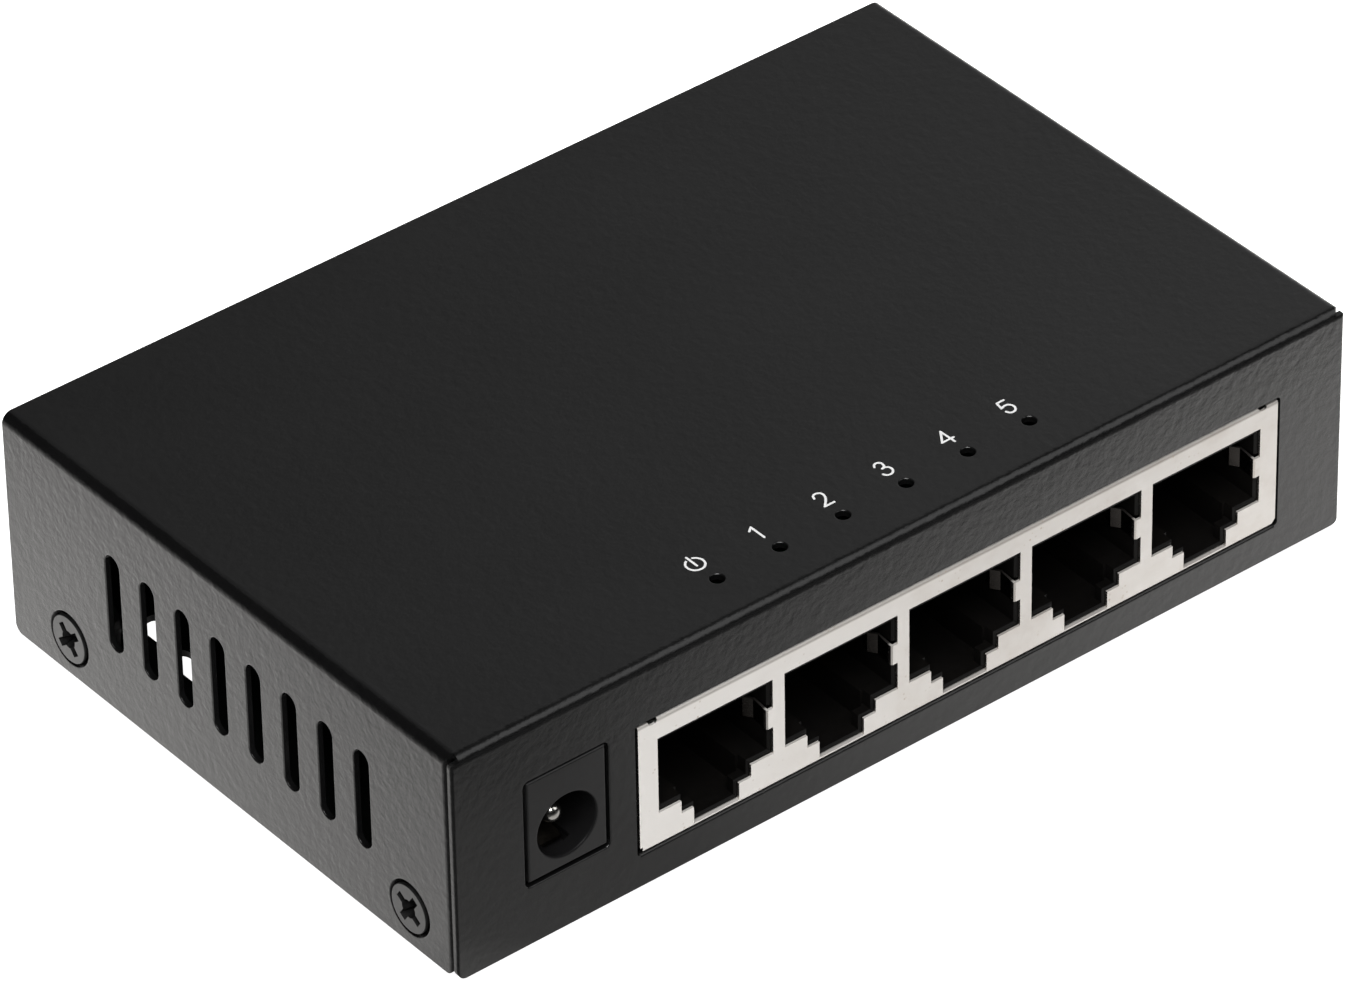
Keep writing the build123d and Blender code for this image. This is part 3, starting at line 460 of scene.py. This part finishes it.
def corner(points):
    """A line with sharp corners, each softened over a very short length."""
    v = [Vector(p) for p in points]
    line = [v[0]]
    for i in range(1, len(v) - 1):
        a = (v[i - 1] - v[i]).normalized() * 0.05
        b = (v[i + 1] - v[i]).normalized() * 0.05
        for s in range(5):
            t = s / 4
            line.append(v[i] + a * (1 - t) ** 2 + b * t**2)
    line.append(v[-1])
    return line


GLYPHS = {
    "power": [arc(-0.16, -0.09, 0.87, 117, 428), corner([(-0.19, 1.10), (-0.19, -0.36)])],
    "1": [corner([(-0.64, 0.50), (-0.20, 0.84)]), corner([(-0.17, 0.88), (-0.17, -0.96)])],
    "2": [
        smooth([(-0.44, 0.50), (-0.27, 0.86), (0.08, 0.98), (0.42, 0.83), (0.55, 0.47), (0.43, 0.05), (0.12, -0.38), (-0.44, -0.93)]),
        corner([(-0.44, -0.95), (0.62, -0.95)]),
    ],
    "3": [
        smooth([(-0.66, 0.62), (-0.45, 0.91), (-0.10, 0.97), (0.16, 0.74), (0.16, 0.36), (-0.02, 0.12), (-0.26, 0.05)]),
        smooth([(-0.26, 0.05), (0.08, 0.03), (0.34, -0.20), (0.36, -0.60), (0.12, -0.93), (-0.20, -1.03), (-0.54, -0.93), (-0.73, -0.62)]),
    ],
    "4": [corner([(0.12, -0.96), (0.06, 0.90)]), corner([(0.04, 0.86), (-0.84, -0.41)]), corner([(-0.88, -0.43), (0.42, -0.43)])],
    "5": [
        corner([(0.25, 0.88), (-0.55, 0.88), (-0.70, 0.06)]),
        smooth([(-0.70, 0.06), (-0.36, 0.17), (0.00, 0.17), (0.29, -0.08), (0.35, -0.48), (0.14, -0.85), (-0.22, -0.98), (-0.54, -0.86), (-0.70, -0.56)]),
    ],
}

ink = Mat("white_ink")
edge = ink.noise(1800, 3.0, 0.6)
ink.colour(ink.ramp(edge, [(0.3, (0.86, 0.86, 0.86)), (0.7, (0.95, 0.95, 0.95))]))
ink.rough(ink.span(edge, 0.3, 0.7, 0.45, 0.6))
ink.normal(ink.bump(edge, 0.000006, 0.5))

for (label, strokes), x in zip(GLYPHS.items(), LED_X):
    bm = bmesh.new()
    place = Matrix.Translation((x * MM, MARK_Y * MM, TOP)) @ Matrix.Scale(MM, 4)
    for k, line in enumerate(strokes):
        stroke(bm, line, 0.225, -0.004, INK + 0.003 * k, place)
    mesh = bpy.data.meshes.new("mark_" + label)
    bm.to_mesh(mesh)
    bm.free()
    mark = bpy.data.objects.new("mark_" + label, mesh)
    mesh.materials.append(ink.m)
    bpy.context.scene.collection.objects.link(mark)
    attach(mark, "root")


# ---------------------------------------------------------------------------
# Floor, light and camera
# ---------------------------------------------------------------------------
def plane(name, size, material, matrix=None):
    mesh = bpy.data.meshes.new(name)
    bm = bmesh.new()
    bmesh.ops.create_grid(bm, x_segments=8, y_segments=8, size=size)
    bm.to_mesh(mesh)
    bm.free()
    obj = bpy.data.objects.new(name, mesh)
    bpy.context.scene.collection.objects.link(obj)
    if matrix is not None:
        obj.matrix_world = matrix
    mesh.materials.append(material.m)
    return obj


def make_floor():
    """The white table that is seen."""
    m = Mat("pale_floor")
    glow = m.noise(3.0, 2.0)
    m.colour(m.ramp(glow, [(0.3, (0.80, 0.80, 0.80)), (0.7, (0.84, 0.84, 0.84))]))
    m.set(Roughness=0.9)
    m.p.inputs["Emission Color"].default_value = (1, 1, 1, 1)
    m.p.inputs["Emission Strength"].default_value = 1.0
    floor = plane("floor", 1.6, m)
    floor.visible_glossy = False


def only_glossy(obj):
    obj.visible_camera = obj.visible_diffuse = False
    obj.visible_transmission = obj.visible_volume_scatter = obj.visible_shadow = False


def glow_only(m, strength, warm=(1, 1, 1)):
    m.colour(m.ramp(m.noise(2.0), [(0.3, (0.010, 0.010, 0.010)), (0.7, (0.016, 0.016, 0.016))]))
    m.set(Roughness=1.0)
    m.p.inputs["Emission Color"].default_value = (*warm, 1)
    m.link(strength, m.p.inputs["Emission Strength"])


def make_table_light():
    """The uneven glow of the lit table, as the case's walls mirror it."""
    m = Mat("table_light")
    split = m.n("ShaderNodeSeparateXYZ")
    m.link(m.co, split.inputs[0])
    x = m.math("MULTIPLY", split.outputs[0], 1000.0)
    y = m.math("MULTIPLY", split.outputs[1], 1000.0)

    def fall(d, stops, reach):
        return m.ramp(m.math("DIVIDE", d, reach), [(p / reach, (v / 2, v / 2, v / 2)) for p, v in stops], False)

    left = m.math("MULTIPLY", m.span(y, -22.0, 36.0, LEFT[0], LEFT[1]), fall(m.math("SUBTRACT", -50.0, x), LEFT_FALL, 200.0))
    # The front stretch of the glow is dim on its left part: a painted shadow of the case on the table.
    front = m.math("MULTIPLY", m.span(x, -24.0, 70.0, FRONT[0], FRONT[1]), fall(m.math("SUBTRACT", -32.0, y), FRONT_FALL, 200.0))
    s = m.math("SUBTRACT", m.math("ADD", x, 50.1), m.math("ADD", y, 31.9))
    side = m.span(s, -11.0, 11.0, 0.0, 1.0)
    pair = m.math("ADD", m.math("MULTIPLY", front, side), m.math("MULTIPLY", left, m.math("SUBTRACT", 1.0, side)))
    pair = m.math("MULTIPLY", pair, 2.0)
    # Painted shadow: the glow dips again right at the case's front-left corner.
    corner_shadow = m.math("MULTIPLY", m.span(x, -51.0, -49.5, 1.0, 0.0), m.span(y, -32.0, -29.8, 1.0, 0.0))
    pair = m.math("MULTIPLY", pair, m.math("SUBTRACT", 1.0, m.math("MULTIPLY", corner_shadow, 0.88)))
    right_side = m.math("MULTIPLY", m.span(x, 52.0, 58.0, 0.0, 1.0), m.span(y, -36.0, -32.0, 0.0, 1.0))
    rear_side = m.math("MULTIPLY", m.span(y, 34.0, 40.0, 0.0, 1.0), m.span(x, -54.0, -50.0, 0.0, 1.0))
    away = m.math("MAXIMUM", right_side, rear_side)
    lit = m.math("ADD", m.math("MULTIPLY", pair, m.math("SUBTRACT", 1.0, away)), m.math("MULTIPLY", away, 1.6))
    glow_only(m, lit, (1.0, 0.985, 0.965))
    only_glossy(plane("table_light", 0.6, m, Matrix.Translation((0, 0, -0.0002))))


LEFT, LEFT_FALL = (1.35, 1.95), [(0, 1.0), (18, 0.76), (26, 0.48), (55, 0.20), (150, 0.05)]
FRONT, FRONT_FALL = (0.42, 1.75), [(0, 1.12), (21, 0.92), (26, 0.55), (44, 0.03)]


def make_rear_card():
    """A grey card behind and to the right, mirrored by the top."""
    m = Mat("rear_card")
    split = m.n("ShaderNodeSeparateXYZ")
    m.link(m.co, split.inputs[0])
    across = m.span(split.outputs[0], -0.10, 0.12, 0.10, 0.42)
    up = m.span(split.outputs[1], -0.10, 0.10, 0.0, 0.05)
    glow_only(m, m.math("ADD", across, up))
    toward = Vector((0.514, 0.610, 0.603)).normalized()
    side = Vector((0.765, -0.644, 0)).normalized()
    over = toward.cross(side).normalized() * -1
    rot = Matrix((side, over, side.cross(over))).transposed().to_4x4()
    only_glossy(plane("rear_card", 0.20, m, Matrix.Translation(toward * 0.30) @ rot))


make_floor()
make_table_light()
make_rear_card()


def softbox(name, toward, distance, size, power, colour=(1, 1, 1)):
    data = bpy.data.lights.new(name, "AREA")
    data.shape = "RECTANGLE"
    data.size, data.size_y = size
    data.energy = power
    data.color = colour
    light = bpy.data.objects.new(name, data)
    d = Vector(toward).normalized()
    light.location = d * distance
    light.rotation_mode = "QUATERNION"
    light.rotation_quaternion = d.to_track_quat("Z", "Y")
    bpy.context.scene.collection.objects.link(light)
    return light


softbox("overhead", (-0.35, -0.45, 0.82), 1.5, (0.9, 0.9), 26.0)
softbox("front_right", (0.50, -0.60, 0.63), 1.2, (0.70, 0.70), 2.1)

world = bpy.data.worlds.new("studio")
bpy.context.scene.world = world
world.use_nodes = True
bg = world.node_tree.nodes["Background"]
bg.inputs["Color"].default_value = (0.005, 0.005, 0.005, 1)
bg.inputs["Strength"].default_value = 1.0

F_PX, WIDE = 9634.590780394903, 1347
AZ, EL, ROLL = 0.6698524219812976, 0.6427348076024754, 0.018979049573312062
T = Vector((0.6641964595443225, 7.5465372734005856, 860.2929668444914))
fwd = Vector((math.sin(AZ) * math.cos(EL), math.cos(AZ) * math.cos(EL), -math.sin(EL)))
right = Vector((math.cos(AZ), -math.sin(AZ), 0))
down = fwd.cross(right)
r2 = math.cos(ROLL) * right + math.sin(ROLL) * down
d2 = -math.sin(ROLL) * right + math.cos(ROLL) * down
where = -(r2 * T.x + d2 * T.y + fwd * T.z) + Vector((0, 0, 1.0))
cam_data = bpy.data.cameras.new("camera")
cam_data.sensor_fit = "HORIZONTAL"
cam_data.sensor_width = 36.0
cam_data.lens = F_PX * 36.0 / WIDE
cam_data.clip_start, cam_data.clip_end = 0.05, 20.0
camera = bpy.data.objects.new("camera", cam_data)
turn = Matrix((r2, -d2, -fwd)).transposed().to_4x4()
camera.matrix_world = Matrix.Translation(where * MM) @ turn
bpy.context.scene.collection.objects.link(camera)
bpy.context.scene.camera = camera
bpy.context.scene.view_settings.view_transform = "Standard"
